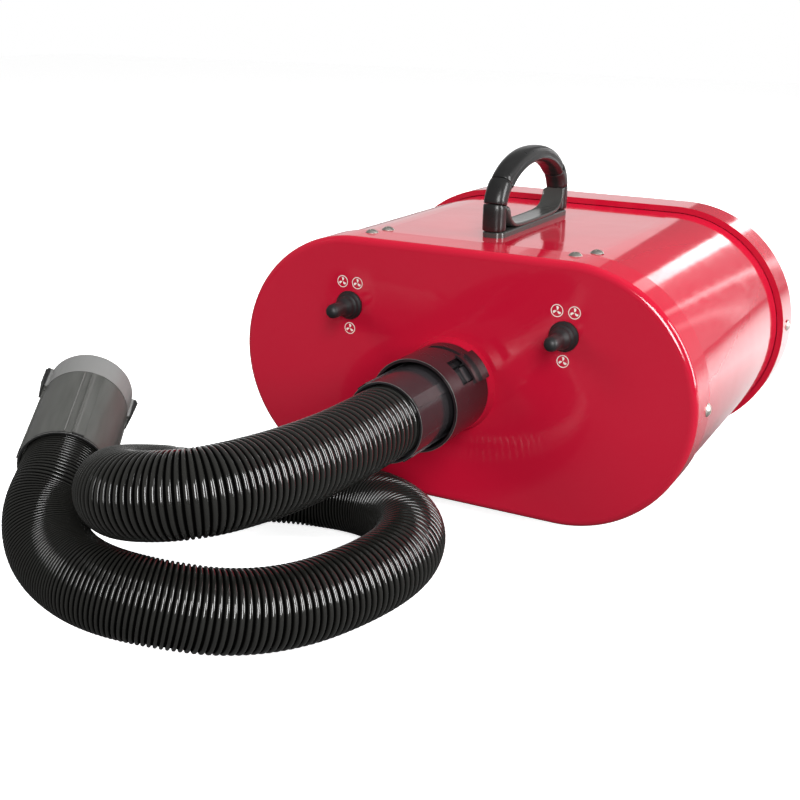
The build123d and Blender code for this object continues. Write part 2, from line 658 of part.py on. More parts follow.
def rear_spider(x):
    return spider(x, BULKHEAD_Y - 6, BULKHEAD_Y)


def bearings(x):
    outer = 11.0
    inner = SHAFT_RADIUS + 0.04
    front = ring_y(outer, inner, MOTOR_FRONT_Y - 1, MOTOR_FRONT_Y + 6, x)
    return [front, ring_y(outer, inner, BULKHEAD_Y - 6, BULKHEAD_Y + 1, x)]


def stator_core(x):
    return ring_y(MOTOR_RADIUS - 2.5, 24.6, *CORE_Y, x)


def field_coils(x):
    front = ring_y(36.0, 26.0, CORE_Y[0] - 5, CORE_Y[0], x)
    return [front, ring_y(36.0, 26.0, CORE_Y[1], CORE_Y[1] + 3.5, x)]


def armature_core(x):
    core = ring_y(24.0, SHAFT_RADIUS, *CORE_Y, x)
    for k in range(12):
        slot = block(-0.8, 0.8, CORE_Y[0] - 1, CORE_Y[1] + 1, AXIS_Z + 14, AXIS_Z + 26)
        core = core - Location((x, 0, 0)) * slot.rotate(Axis((0, 0, AXIS_Z), (0, 1, 0)), 30 * k)
    return core


def armature_windings(x):
    front = ring_y(21.0, SHAFT_RADIUS, CORE_Y[0] - 4, CORE_Y[0], x)
    return [front, ring_y(21.0, SHAFT_RADIUS, CORE_Y[1], CORE_Y[1] + 3.5, x)]


def commutator(x):
    return ring_y(12.0, SHAFT_RADIUS, CORE_Y[0] - 13, CORE_Y[0] - 4, x)


def motor_shaft(x):
    return rod_y(SHAFT_RADIUS, MOTOR_FRONT_Y - 3, FAN_REAR_Y - 3, x)


def brush_holders(x):
    y0 = CORE_Y[0] - 12
    holders = []
    for side in (-1, 1):
        inner = x + side * 12.1
        outer = x + side * (MOTOR_RADIUS - 2.6)
        holders.append(block(min(inner, outer), max(inner, outer), y0, y0 + 6, AXIS_Z - 4, AXIS_Z + 4))
    return holders


# ---------------------------------------------------------------- inside of the housing
INNER_RADIUS = SHELL_RADIUS - SHEET
FILTER_Y = SHELL_REAR_Y - 15.2
FILTER_PLATE = 1.6
FOAM_THICKNESS = 10.0


def front_hoop():
    hoop = obround_ring(INNER_RADIUS, INNER_RADIUS - 2.0, SHELL_SCREW_Y - 8, SHELL_SCREW_Y + 8)
    return drill(hoop, SHELL_SEATS)


def motor_bulkhead():
    """Wall across the shell that carries both blowers and parts the suction side from the outlet side."""
    wall = prism_y(obround(INNER_RADIUS), BULKHEAD_Y, BULKHEAD_Y + 2)
    wall = wall + obround_ring(INNER_RADIUS, INNER_RADIUS - 1.5, BULKHEAD_Y, BULKHEAD_Y + 12)
    for side in SIDES.values():
        wall = wall - rod_y(34.0, BULKHEAD_Y - 1, BULKHEAD_Y + 3, side * HALF_STRAIGHT)
    return wall


def filter_foam():
    return prism_y(obround(INNER_RADIUS - 2.5), FILTER_Y + FILTER_PLATE, FILTER_Y + FILTER_PLATE + FOAM_THICKNESS)


def filter_frame():
    """Plate pressed into the shell that the foam lies against."""
    y1 = FILTER_Y + FILTER_PLATE
    frame = obround_ring(INNER_RADIUS, INNER_RADIUS - 10, FILTER_Y, y1)
    for x in (-120, -60, 0, 60, 120):
        bar = block(x - 2, x + 2, FILTER_Y, y1, 0, 300)
        frame = frame + (bar & prism_y(obround(INNER_RADIUS - 1), FILTER_Y, y1))
    return frame


def terminal_block():
    base = block(-26, 26, -20, -2, SHELL_BOTTOM + SHEET, SHELL_BOTTOM + SHEET + 14)
    for k in range(6):
        x = -20 + 8 * k
        base = base - rod_z(2.5, SHELL_BOTTOM + SHEET + 6, SHELL_BOTTOM + 40, x, -11)
    return base


def noise_capacitor():
    can = block(-14, 14, -58, -40, SHELL_BOTTOM + SHEET, SHELL_BOTTOM + SHEET + 24)
    return fillet(can.edges().filter_by(Axis.Z), 2.0)


def cable_gland():
    """Gland body, inner nut and cap for the fixed mains lead."""
    body = rod_y(GLAND_HOLE, REAR_Y - 8, REAR_Y, GLAND_X, GLAND_Z)
    body = body + prism_y(RegularPolygon(12.0, 6), REAR_Y, REAR_Y + 5, GLAND_X, GLAND_Z)
    body = body + cone_y(10.5, 7.5, REAR_Y + 5, REAR_Y + GLAND_REACH, GLAND_X, GLAND_Z)
    return body - rod_y(GLAND_BORE, REAR_Y - 9, REAR_Y + 20, GLAND_X, GLAND_Z)


def gland_nut():
    nut = prism_y(RegularPolygon(12.0, 6), REAR_Y - SHEET - 4, REAR_Y - SHEET, GLAND_X, GLAND_Z)
    return nut - rod_y(GLAND_HOLE, REAR_Y - 9, REAR_Y + 1, GLAND_X, GLAND_Z)


def switch_leads(x):
    """Two wires from a switch down to the terminal block."""
    wires = []
    for k in (-1, 1):
        top_z = SWITCH_Z + 8 * k
        start = (x, PIVOT_Y + 33.5, top_z)
        end_x = (1 if x > 0 else -1) * (16 + 4 * k)
        points = [start, (x, -60.0 + 3 * k, top_z), (end_x, -30.0, 60.0 + 4 * k), (end_x, -14.0, 36.0)]
        path = Polyline(*points)
        section = Plane(origin=start, z_dir=Vector(*points[1]) - Vector(*points[0])) * Circle(1.1)
        wires.append(sweep(section, path=path, transition=Transition.ROUND))
    return wires


# ---------------------------------------------------------------- write every node
def write_housing():
    save("front_cover", front_cover())
    save("body_shell", body_shell())
    save("rear_cover", rear_cover())
    save("rear_spacers", *rear_spacers())
    save("front_cover_screws", *[pan_screw(seat) for seat in FRONT_SEATS])
    save("rear_cover_screws", *[pan_screw(seat, REAR_SCREW_LENGTH) for seat in REAR_SEATS])
    save("shell_screws", *[pan_screw(seat, SHELL_SCREW_LENGTH) for seat in SHELL_SEATS])
    save("rubber_feet", *[foot(x, y) for x, y in FOOT_SPOTS])
    save("foot_screws", *[foot_screw(x, y) for x, y in FOOT_SPOTS])
    save("foot_nuts", *[foot_nut(x, y) for x, y in FOOT_SPOTS])
    save("cable_gland", cable_gland())
    save("gland_nut", gland_nut())


def write_outlet():
    save("outlet_collar", outlet_collar())
    save("collar_nut", collar_nut())
    save("near_cuff", near_cuff())
    save("far_cuff", far_cuff())
    save("hose_tube", hose_tube())


def write_handle():
    save("handle_base", handle_base())
    save("handle_legs", handle_legs())
    save("handle_bow", handle_bow())
    save("handle_grip_pads", grip_band())
    save("handle_screws", *[handle_screw(y) for y in HANDLE_SCREW_Y])


def write_switch_nuts():
    save("switch_nuts", *[switch_nut(side * SWITCH_X) for side in SIDES.values()])


def write_switch(name, x):
    save(f"{name}_switch_body", switch_body(x))
    save(f"{name}_switch_bush", switch_bush(x))
    save(f"{name}_boot_ring", boot_ring(x))
    save(f"{name}_switch_lever", switch_lever(x))
    save(f"{name}_lever_sleeve", lever_sleeve(x))


def write_blower(name, x):
    save(f"{name}_fan_case", fan_case(x), guide_plate(x))
    save(f"{name}_impellers", impeller(x, FAN_FRONT_Y + 3.0), impeller(x, FAN_FRONT_Y + 25.0))
    save(f"{name}_motor_frame", motor_frame(x))
    save(f"{name}_bearings", *bearings(x))
    save(f"{name}_stator_core", stator_core(x))
    save(f"{name}_field_coils", *field_coils(x))
    save(f"{name}_armature", armature_core(x), *armature_windings(x))
    save(f"{name}_commutator", commutator(x))
    save(f"{name}_motor_shaft", motor_shaft(x))
    save(f"{name}_brush_holders", *brush_holders(x))


def write_inside():
    save("front_hoop", front_hoop())
    save("motor_bulkhead", motor_bulkhead())
    save("filter_foam", filter_foam())
    save("filter_frame", filter_frame())
    save("terminal_block", terminal_block())
    save("noise_capacitor", noise_capacitor())
    save("switch_leads", *switch_leads(-SWITCH_X), *switch_leads(SWITCH_X))


os.makedirs("parts", exist_ok=True)
write_housing()
write_outlet()
write_handle()
write_inside()
write_switch_nuts()
for side_name, side in SIDES.items():
    write_switch(side_name, side * SWITCH_X)
    write_blower(side_name, side * HALF_STRAIGHT)
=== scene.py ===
import json
from math import cos, pi, radians, sin

import bmesh
import bpy
from mathutils import Matrix, Vector


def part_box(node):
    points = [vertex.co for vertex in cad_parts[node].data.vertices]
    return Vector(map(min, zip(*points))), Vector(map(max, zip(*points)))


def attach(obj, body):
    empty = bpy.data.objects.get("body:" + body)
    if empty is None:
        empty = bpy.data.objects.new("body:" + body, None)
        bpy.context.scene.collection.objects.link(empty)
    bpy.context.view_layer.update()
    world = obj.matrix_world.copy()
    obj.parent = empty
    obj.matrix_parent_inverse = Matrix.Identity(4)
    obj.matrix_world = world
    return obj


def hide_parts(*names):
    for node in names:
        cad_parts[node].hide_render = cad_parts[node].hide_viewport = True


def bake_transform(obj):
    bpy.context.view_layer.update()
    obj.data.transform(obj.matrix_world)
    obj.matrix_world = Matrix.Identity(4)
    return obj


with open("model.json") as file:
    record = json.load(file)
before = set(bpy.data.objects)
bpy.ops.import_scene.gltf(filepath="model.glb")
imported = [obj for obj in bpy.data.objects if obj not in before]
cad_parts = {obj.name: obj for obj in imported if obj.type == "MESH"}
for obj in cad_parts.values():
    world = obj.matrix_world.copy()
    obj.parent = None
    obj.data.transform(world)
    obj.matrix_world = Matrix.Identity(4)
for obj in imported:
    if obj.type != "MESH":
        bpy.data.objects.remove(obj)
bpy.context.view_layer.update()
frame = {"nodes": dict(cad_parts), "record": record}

# Pet dryer, visual model. Metres, +X right, +Y back, +Z up, in the frame's own space.
NODES = frame["nodes"]
MM = 0.001


# ---------------------------------------------------------------- sizes read from the frame
def low_high(node):
    low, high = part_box(node)
    return Vector(low), Vector(high)


COVER_LOW, COVER_HIGH = low_high("front_cover")
RING_LOW, RING_HIGH = low_high("left_boot_ring")
COLLAR_LOW = low_high("outlet_collar")[0]
AXIS_Z = (COVER_LOW.z + COVER_HIGH.z) / 2
FRONT_Y = RING_HIGH.y
SWITCH_X = -(RING_LOW.x + RING_HIGH.x) / 2
SWITCH_Z = (RING_LOW.z + RING_HIGH.z) / 2
OUTLET_DROP = 3.5 * MM
OUTLET_Z = AXIS_Z - OUTLET_DROP


# ---------------------------------------------------------------- camera
CAMERA_PLACE = Vector((0.3330, -0.8141, 0.3404))
CAMERA_YAW = -0.4907
CAMERA_PITCH = 0.3180
CAMERA_ROLL = 0.0172
CAMERA_LENS = 53.28
SENSOR_WIDTH = 36.0


def make_camera():
    level_part = cos(CAMERA_PITCH)
    forward = Vector((sin(CAMERA_YAW) * level_part, cos(CAMERA_YAW) * level_part, -sin(CAMERA_PITCH)))
    level = Vector((cos(CAMERA_YAW), -sin(CAMERA_YAW), 0))
    upright = level.cross(forward)
    right = cos(CAMERA_ROLL) * level + sin(CAMERA_ROLL) * upright
    up = -sin(CAMERA_ROLL) * level + cos(CAMERA_ROLL) * upright
    data = bpy.data.cameras.new("camera")
    data.lens = CAMERA_LENS
    data.sensor_width = SENSOR_WIDTH
    camera = bpy.data.objects.new("camera", data)
    bpy.context.scene.collection.objects.link(camera)
    turn = Matrix((right, up, -forward)).transposed()
    camera.matrix_world = Matrix.Translation(CAMERA_PLACE) @ turn.to_4x4()
    bpy.context.scene.camera = camera


make_camera()


# ---------------------------------------------------------------- material helpers
class Shader:
    """Small wrapper that keeps the node code of one material short."""

    def __init__(self, name, color, rough, **sockets):
        self.material = bpy.data.materials.new(name)
        self.material.use_nodes = True
        self.nodes = self.material.node_tree.nodes
        self.links = self.material.node_tree.links
        self.shader = self.nodes["Principled BSDF"]
        self.put("Base Color", (*color, 1.0))
        self.put("Roughness", rough)
        for key, value in sockets.items():
            self.put(key.replace("_", " "), value)

    def put(self, socket, value):
        self.shader.inputs[socket].default_value = value

    def place(self):
        """Object coordinates, the same on every piece because no object is scaled."""
        return self.nodes.new("ShaderNodeTexCoord").outputs["Object"]

    def stretch(self, vector, scale):
        node = self.nodes.new("ShaderNodeMapping")
        node.inputs["Scale"].default_value = scale
        self.links.new(vector, node.inputs["Vector"])
        return node.outputs["Vector"]

    def noise(self, vector, scale, detail=4.0, rough=0.5):
        node = self.nodes.new("ShaderNodeTexNoise")
        node.inputs["Scale"].default_value = scale
        node.inputs["Detail"].default_value = detail
        node.inputs["Roughness"].default_value = rough
        self.links.new(vector, node.inputs["Vector"])
        return node.outputs["Fac"]

    def spread(self, value, low, high, start=0.3, end=0.7):
        node = self.nodes.new("ShaderNodeMapRange")
        node.inputs["From Min"].default_value = start
        node.inputs["From Max"].default_value = end
        node.inputs["To Min"].default_value = low
        node.inputs["To Max"].default_value = high
        self.links.new(value, node.inputs["Value"])
        return node.outputs["Result"]

    def tint(self, value, first, second):
        node = self.nodes.new("ShaderNodeMix")
        node.data_type = "RGBA"
        node.inputs["A"].default_value = (*first, 1.0)
        node.inputs["B"].default_value = (*second, 1.0)
        self.links.new(value, node.inputs["Factor"])
        return node.outputs["Result"]

    def relief(self, height, strength, depth, previous=None):
        node = self.nodes.new("ShaderNodeBump")
        node.inputs["Strength"].default_value = strength
        node.inputs["Distance"].default_value = depth
        self.links.new(height, node.inputs["Height"])
        if previous is not None:
            self.links.new(previous, node.inputs["Normal"])
        return node.outputs["Normal"]

    def feed(self, output, socket):
        self.links.new(output, self.shader.inputs[socket])


def sheet_paint(name, lean=0.0):
    """Gloss red enamel with a little orange peel, wavy sheet under it, and fine scuffs.

    A lean tips the shading of faces that run front to back, which moves what they reflect. It is
    a shading effect only: the sheet itself is straight.
    """
    s = Shader(name, (0.50, 0.006, 0.029), 0.10, Coat_Weight=0.5, Coat_Roughness=0.03, IOR=1.5)
    place = s.place()
    cloud = s.noise(place, 6.0, 3.0)
    s.feed(s.tint(cloud, (0.46, 0.005, 0.025), (0.52, 0.008, 0.033)), "Base Color")
    scuffs = s.noise(s.stretch(place, (1.0, 1.0, 7.0)), 60.0, 6.0, 0.7)
    s.feed(s.spread(scuffs, 0.07, 0.20, 0.35, 0.85), "Roughness")
    waves = s.relief(s.noise(place, 14.0, 2.0), 0.5, 0.0012)
    if lean:
        parts = s.nodes.new("ShaderNodeSeparateXYZ")
        s.links.new(place, parts.inputs["Vector"])
        waves = s.relief(parts.outputs["Y"], 1.0, lean, waves)
    s.feed(s.relief(s.noise(place, 420.0, 2.0), 0.10, 0.0001, waves), "Normal")
    return s.material


def moulded(name, color, rough, grain=900.0, depth=0.00005, wear=0.08, **sockets):
    """Moulded plastic: fine grain in the relief and uneven gloss."""
    s = Shader(name, color, rough, **sockets)
    place = s.place()
    shade = s.noise(place, 25.0, 5.0, 0.6)
    darker = tuple(c * 0.85 for c in color)
    lighter = tuple(min(1.0, c * 1.18) for c in color)
    s.feed(s.tint(shade, darker, lighter), "Base Color")
    handled = s.noise(s.stretch(place, (1.0, 2.5, 1.0)), 80.0, 6.0, 0.7)
    s.feed(s.spread(handled, rough - wear / 2, rough + wear, 0.3, 0.75), "Roughness")
    s.feed(s.relief(s.noise(place, grain, 3.0), 0.35, depth), "Normal")
    return s.material


def metal(name, color, rough, stretch=(1.0, 1.0, 1.0), **sockets):
    """Bare metal with directional brushing and faint stains."""
    s = Shader(name, color, rough, Metallic=1.0, **sockets)
    place = s.place()
    stain = s.noise(place, 40.0, 5.0, 0.65)
    s.feed(s.tint(stain, tuple(c * 0.8 for c in color), color), "Base Color")
    brush = s.noise(s.stretch(place, stretch), 500.0, 4.0, 0.7)
    s.feed(s.spread(brush, rough * 0.7, rough * 1.5), "Roughness")
    s.feed(s.relief(brush, 0.15, 0.00003), "Normal")
    return s.material


def ribbed_plastic():
    """Glossy black hose: darker and duller in the grooves as painted shade, and duller where the ribs are
    bunched.
    """
    s = Shader("hose_plastic", (0.012, 0.012, 0.011), 0.12, Coat_Roughness=0.05)
    place = s.place()
    ridge = s.nodes.new("ShaderNodeAttribute")
    ridge.attribute_name = "ridge"
    height = ridge.outputs["Fac"]
    # Painted shade: the base colour darkens and the specular level drops in the grooves, where shade
    # falls.
    top = s.spread(height, 0.0, 1.0, 0.2, 0.95)
    s.feed(s.tint(top, (0.0012, 0.0012, 0.0012), (0.015, 0.015, 0.0135)), "Base Color")
    s.feed(s.spread(height, 0.0, 0.5, 0.3, 0.9), "Specular IOR Level")
    stretched = s.nodes.new("ShaderNodeAttribute")
    stretched.attribute_name = "stretched"
    coat = s.nodes.new("ShaderNodeMath")
    coat.operation = "MULTIPLY"
    s.links.new(s.spread(height, 0.0, 1.0, 0.5, 0.95), coat.inputs[0])
    s.links.new(stretched.outputs["Fac"], coat.inputs[1])
    s.feed(coat.outputs["Value"], "Coat Weight")
    handled = s.noise(s.stretch(place, (1.0, 2.5, 1.0)), 60.0, 6.0, 0.7)
    s.feed(s.spread(handled, 0.11, 0.22, 0.35, 0.8), "Roughness")
    s.feed(s.relief(s.noise(place, 1200.0, 3.0), 0.3, 0.00001), "Normal")
    return s.material


def open_foam():
    """Open cells of the filter foam, darker in the middle of each cell, where the relief is lowest:
    painted shade in the pits.
    """
    s = Shader("filter_foam", (0.03, 0.03, 0.032), 0.95)
    place = s.place()
    cells = s.nodes.new("ShaderNodeTexVoronoi")
    cells.inputs["Scale"].default_value = 500.0
    s.links.new(place, cells.inputs["Vector"])
    # Painted shade: the colour darkens towards each cell's middle, the bottom of its pit.
    s.feed(s.tint(cells.outputs["Distance"], (0.008, 0.008, 0.008), (0.07, 0.07, 0.075)), "Base Color")
    s.feed(s.relief(cells.outputs["Distance"], 0.9, 0.0008), "Normal")
    return s.material


FINISH = {
    "red_paint": sheet_paint("red_enamel"),
    "zinc_steel": metal("zinc_plate", (0.62, 0.64, 0.66), 0.35),
    "screw_steel": metal("screw_steel", (0.82, 0.80, 0.74), 0.42, Anisotropic=0.2),
    "black_rubber": moulded("black_rubber", (0.012, 0.012, 0.013), 0.45, 700.0, 0.00008),
    "black_plastic": moulded("black_plastic", (0.02, 0.02, 0.021), 0.42),
    "collar_plastic": moulded("collar_plastic", (0.021, 0.013, 0.015), 0.22, 1200.0, 0.00002),
    "cuff_plastic": moulded("cuff_plastic", (0.022, 0.020, 0.022), 0.20, 1200.0, 0.00002),
    "hose_plastic": ribbed_plastic(),
    "grey_gloss": moulded("grey_gloss", (0.045, 0.045, 0.043), 0.16, 1500.0, 0.000008, 0.05),
    "handle_gloss": moulded("handle_gloss", (0.012, 0.012, 0.012), 0.30, 1200.0, 0.00002, 0.08),
    "foam": open_foam(),
    "white_plastic": moulded("white_plastic", (0.75, 0.75, 0.70), 0.4),
    "wire_red": moulded("wire_insulation", (0.55, 0.03, 0.02), 0.35),
    "chrome_nut": metal("nickel_plate", (0.75, 0.74, 0.72), 0.16),
    "aluminium_case": metal("cast_aluminium", (0.66, 0.67, 0.68), 0.42),
    "impeller_aluminium": metal("sheet_aluminium", (0.78, 0.78, 0.79), 0.30, (1.0, 1.0, 8.0)),
    "bearing_steel": metal("ground_steel", (0.60, 0.60, 0.61), 0.18, (1.0, 8.0, 1.0)),
    "core_steel": metal("laminated_steel", (0.26, 0.26, 0.27), 0.5, (1.0, 30.0, 1.0)),
    "copper_coil": metal("enamelled_copper", (0.60, 0.25, 0.10), 0.3, (1.0, 30.0, 1.0)),
    "copper_bar": metal("bare_copper", (0.80, 0.42, 0.28), 0.25),
    "brass_holder": metal("brass", (0.75, 0.56, 0.25), 0.28),
}


def dress_frame():
    """Give every CAD node the finish of its material slot."""
    slots = {part["node"]: part["material_slot"] for part in frame["record"]["subparts"]}
    for name, obj in NODES.items():
        obj.data.materials.clear()
        obj.data.materials.append(FINISH[slots[name]])


dress_frame()
COVER_LEAN = 0.09
NODES["front_cover"].data.materials[0] = sheet_paint("red_enamel_cover", COVER_LEAN)


# ---------------------------------------------------------------- mesh helpers
def add_mesh(name, points, faces, material, smooth=True, body="housing"):
    data = bpy.data.meshes.new(name)
    data.from_pydata([tuple(p) for p in points], [], faces)
    data.validate()
    data.polygons.foreach_set("use_smooth", [smooth] * len(data.polygons))
    data.materials.append(FINISH[material])
    obj = bpy.data.objects.new(name, data)
    bpy.context.scene.collection.objects.link(obj)
    if body:
        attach(obj, body)
    return obj


def turned(name, profile, centre, axis, material, body="housing", around=48, closed=False):
    """Turn a profile of (radius, along) about an axis. Closed joins the last ring to the first."""
    axis = Vector(axis).normalized()
    side = axis.orthogonal().normalized()
    other = axis.cross(side)
    points = []
    for radius, along in profile:
        for k in range(around):
            turn = 2 * pi * k / around
            points.append(Vector(centre) + axis * along + radius * (cos(turn) * side + sin(turn) * other))
    faces = []
    rings = len(profile)
    last = rings if closed else rings - 1
    for r in range(last):
        for k in range(around):
            a = r * around + k
            b = r * around + (k + 1) % around
            c = ((r + 1) % rings) * around + (k + 1) % around
            d = ((r + 1) % rings) * around + k
            faces.append((a, b, c, d))
    if not closed:
        faces.append(tuple(range(around))[::-1])
        faces.append(tuple(range((rings - 1) * around, rings * around)))
    return add_mesh(name, points, faces, material, body=body)


# ---------------------------------------------------------------- hose
CUFF_BACK = FRONT_Y - 92.3 * MM
HOSE_INSET = 23.0 * MM
HOSE_RADIUS = 23.5 * MM
FLOOR_Z = HOSE_RADIUS + 0.2 * MM
FAR_RIM = Vector((-0.1393, -0.3429, 0.0845))
FAR_AXIS = Vector((-0.49, 0.833, 0.258)).normalized()
ROUTE = [
    Vector((0.0, CUFF_BACK + HOSE_INSET, OUTLET_Z)),
    Vector((0.0, -0.245, OUTLET_Z)),
    Vector((-0.001, -0.292, 0.1006)),
    Vector((-0.005, -0.338, 0.1045)),
    Vector((-0.019, -0.374, 0.1055)),
    Vector((-0.057, -0.385, 0.100)),
    Vector((-0.088, -0.358, 0.090)),
    Vector((-0.091, -0.308, 0.073)),
    Vector((-0.145, -0.250, 0.043)),
    Vector((-0.0904, -0.1768, FLOOR_Z)),
    Vector((-0.0288, -0.1669, FLOOR_Z)),
    Vector((0.0150, -0.1946, FLOOR_Z)),
    Vector((0.0303, -0.2527, FLOOR_Z)),
    Vector((0.0012, -0.3430, 0.026)),
    Vector((-0.0602, -0.3910, 0.044)),
    Vector((-0.108, -0.3855, 0.0495)),
    Vector((-0.131, -0.3705, 0.0665)),
    FAR_RIM - FAR_AXIS * 0.006,
    FAR_RIM + FAR_AXIS * HOSE_INSET,
]
HOSE_WALL = 0.9 * MM
HOSE_AROUND = 56
RIB_DEPTH = 2.8 * MM
# A rib is never deeper than this part of its pitch.
RIB_DEPTH_LIMIT = 0.48
# What is left at the far end becomes one rib when it is shorter than this many pitches.
LAST_RIB = 1.5
# One rib: part of the pitch, height from the bottom of the groove as a part of the depth.
RIB_PROFILE = [
    (0.00, 0.0), (0.11, 0.05), (0.19, 0.55), (0.30, 0.90), (0.50, 1.0), (0.70, 0.90), (0.81, 0.55),
    (0.89, 0.05),
]
# Rib pitch in mm at which the hose looks dull, and from which it looks glossy.
BUNCHED_PITCH = 2.0
STRETCHED_PITCH = 3.4
# Rib pitch along the hose: distance from the near end in metres, pitch in mm. The ribs are closest in
# the tight turns and by the far cuff.
RIB_PITCH = [
    (0.00, 5.3), (0.08, 5.4), (0.12, 4.9), (0.15, 3.8), (0.18, 2.7), (0.36, 2.7), (0.44, 4.0), (0.50, 3.0),
    (0.54, 2.9), (0.58, 4.2), (0.60, 4.6), (0.64, 4.3), (0.67, 4.3), (0.70, 4.0), (0.75, 3.7), (0.79, 3.0),
    (0.82, 2.1), (0.85, 1.8), (0.88, 1.7), (0.92, 1.5), (1.00, 1.5),
]


def spline_points(points, steps=24):
    """Points of the smooth line that has the route as its control points."""
    data = bpy.data.curves.new("route", "CURVE")
    data.dimensions = "3D"
    line = data.splines.new("NURBS")
    line.points.add(len(points) - 1)
    for point, place in zip(line.points, points):
        point.co = (*place, 1.0)
    line.order_u = 3
    line.use_endpoint_u = True
    line.resolution_u = steps
    guide = bpy.data.objects.new("route", data)
    bpy.context.scene.collection.objects.link(guide)
    mesh = bpy.data.meshes.new_from_object(guide)
    found = [v.co.copy() for v in mesh.vertices]
    bpy.data.objects.remove(guide)
    return found


def lookup(table, x):
    """Value at x in a table of (x, value), on straight lines between its rows."""
    for (x0, y0), (x1, y1) in zip(table, table[1:]):
        if x <= x1:
            return y0 + (y1 - y0) * max(0.0, x - x0) / (x1 - x0)
    return table[-1][1]


class Line:
    """A smooth line with its length, and a frame that doesn't twist along it."""

    def __init__(self, points):
        self.points = points
        self.reach = [0.0]
        for a, b in zip(points, points[1:]):
            self.reach.append(self.reach[-1] + (b - a).length)
        self.length = self.reach[-1]
        self.sides = []
        side = (points[1] - points[0]).orthogonal().normalized()
        for k in range(len(points)):
            along = self.heading(k)
            side = (side - along * side.dot(along)).normalized()
            self.sides.append(side)

    def heading(self, k):
        before = self.points[max(0, k - 1)]
        after = self.points[min(len(self.points) - 1, k + 1)]
        return (after - before).normalized()

    def at(self, distance):
        """Place, heading and side at a distance along the line."""
        k = self.start_of(distance)
        part = (distance - self.reach[k]) / (self.reach[k + 1] - self.reach[k])
        place = self.points[k].lerp(self.points[k + 1], part)
        along = self.heading(k).lerp(self.heading(k + 1), part).normalized()
        side = self.sides[k].lerp(self.sides[k + 1], part)
        return place, along, (side - along * side.dot(along)).normalized()

    def start_of(self, distance):
        low, high = 0, len(self.reach) - 2
        while low < high:
            middle = (low + high + 1) // 2
            if self.reach[middle] <= distance:
                low = middle
            else:
                high = middle - 1
        return low


def rib_stations(line):
    """Distances along the hose, with the depth below the ribs' tops and the height on the rib at each."""
    stations = []
    start = 0.0
    while start < line.length:
        pitch = lookup(RIB_PITCH, start) * MM
        left = line.length - start
        if left < LAST_RIB * pitch:
            pitch = min(pitch, left)
        depth = min(RIB_DEPTH, RIB_DEPTH_LIMIT * pitch)
        for part, height in RIB_PROFILE:
            stations.append((start + part * pitch, depth * (1.0 - height), height))
        start += pitch
    stations.append((line.length, 0.0, 1.0))
    return stations


def make_hose():
    """Ribbed tube on the route's smooth line. Each point keeps its height on the rib, for the gloss and
    the painted shade.
    """
    line = Line(spline_points(ROUTE))
    points = []
    stations = rib_stations(line)
    ridges = []
    stretch = []
    for distance, groove, height in stations:
        ridges += [height] * HOSE_AROUND
        loose = (lookup(RIB_PITCH, distance) - BUNCHED_PITCH) / (STRETCHED_PITCH - BUNCHED_PITCH)
        stretch += [min(max(loose, 0.0), 1.0)] * HOSE_AROUND
        place, along, side = line.at(min(distance, line.length - 1e-6))
        other = along.cross(side)
        radius = HOSE_RADIUS - groove
        for k in range(HOSE_AROUND):
            turn = 2 * pi * k / HOSE_AROUND
            points.append(place + radius * (cos(turn) * side + sin(turn) * other))
    faces = []
    for r in range(len(stations) - 1):
        for k in range(HOSE_AROUND):
            a = r * HOSE_AROUND + k
            b = r * HOSE_AROUND + (k + 1) % HOSE_AROUND
            faces.append((a, b, b + HOSE_AROUND, a + HOSE_AROUND))
    hose = add_mesh("corrugated_hose", points, faces, "hose_plastic")
    for name, values in (("ridge", ridges), ("stretched", stretch)):
        hose.data.attributes.new(name, "FLOAT", "POINT").data.foreach_set("value", values)
    thick = hose.modifiers.new("wall", "SOLIDIFY")
    thick.thickness = HOSE_WALL
    thick.offset = -1.0
    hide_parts("hose_tube")
    return hose, line


HOSE, HOSE_LINE = make_hose()


# ---------------------------------------------------------------- switch boots and fan signs
# Radius and distance from the panel, in mm.
BOOT_PROFILE = [
    (9.9, 0.0), (10.1, 1.4), (9.7, 2.6), (8.7, 3.0), (8.7, 4.8), (8.2, 5.8), (7.4, 6.2), (7.3, 7.8),
    (6.5, 9.6), (5.4, 11.0), (4.8, 12.4), (4.6, 14.5), (4.8, 17.5), (5.0, 20.5), (4.9, 23.0), (4.2, 25.0),
    (2.8, 26.3), (0.8, 26.8),
]
SIGN_RADIUS = 4.2 * MM
SIGN_LINE = 0.5 * MM
SIGN_HEIGHT = 0.08 * MM
# One fan blade as (radius in mm, angle from its middle in degrees), and the signs' places round a
# switch in mm.
BLADE = [(0.5, -20), (1.4, -38), (2.5, -26), (3.1, -8), (2.9, 12), (1.5, 10), (0.5, 20)]
SIGN_SPOTS = [(-5.9, 16.1), (5.9, 16.1), (0.0, -16.8)]


def make_boot(side, x):
    """Rubber boot that stretches from the panel over the lever."""
    profile = [(radius * MM, along * MM) for radius, along in BOOT_PROFILE]
    centre = (x, FRONT_Y, SWITCH_Z)
    boot = turned(f"{side}_rubber_boot", profile, centre, (0, -1, 0), "black_rubber", body=None)
    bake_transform(boot)
    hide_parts(f"{side}_boot_ring", f"{side}_lever_sleeve")


def add_outline(mesh, outline):
    """A flat shape in the panel's plane, with a little thickness."""
    front = [mesh.verts.new((x, FRONT_Y - SIGN_HEIGHT, z)) for x, z in outline]
    back = [mesh.verts.new((x, FRONT_Y, z)) for x, z in outline]
    mesh.faces.new(front)
    count = len(outline)
    for k in range(count):
        mesh.faces.new((front[(k + 1) % count], front[k], back[k], back[(k + 1) % count]))


def add_ring(mesh, x, z, outer, inner, around=40):
    """A flat ring, made of one small quad after another."""
    for k in range(around):
        a, b = 2 * pi * k / around, 2 * pi * (k + 1) / around
        corners = ((outer, a), (outer, b), (inner, b), (inner, a))
        add_outline(mesh, [(x + r * cos(t), z + r * sin(t)) for r, t in corners])


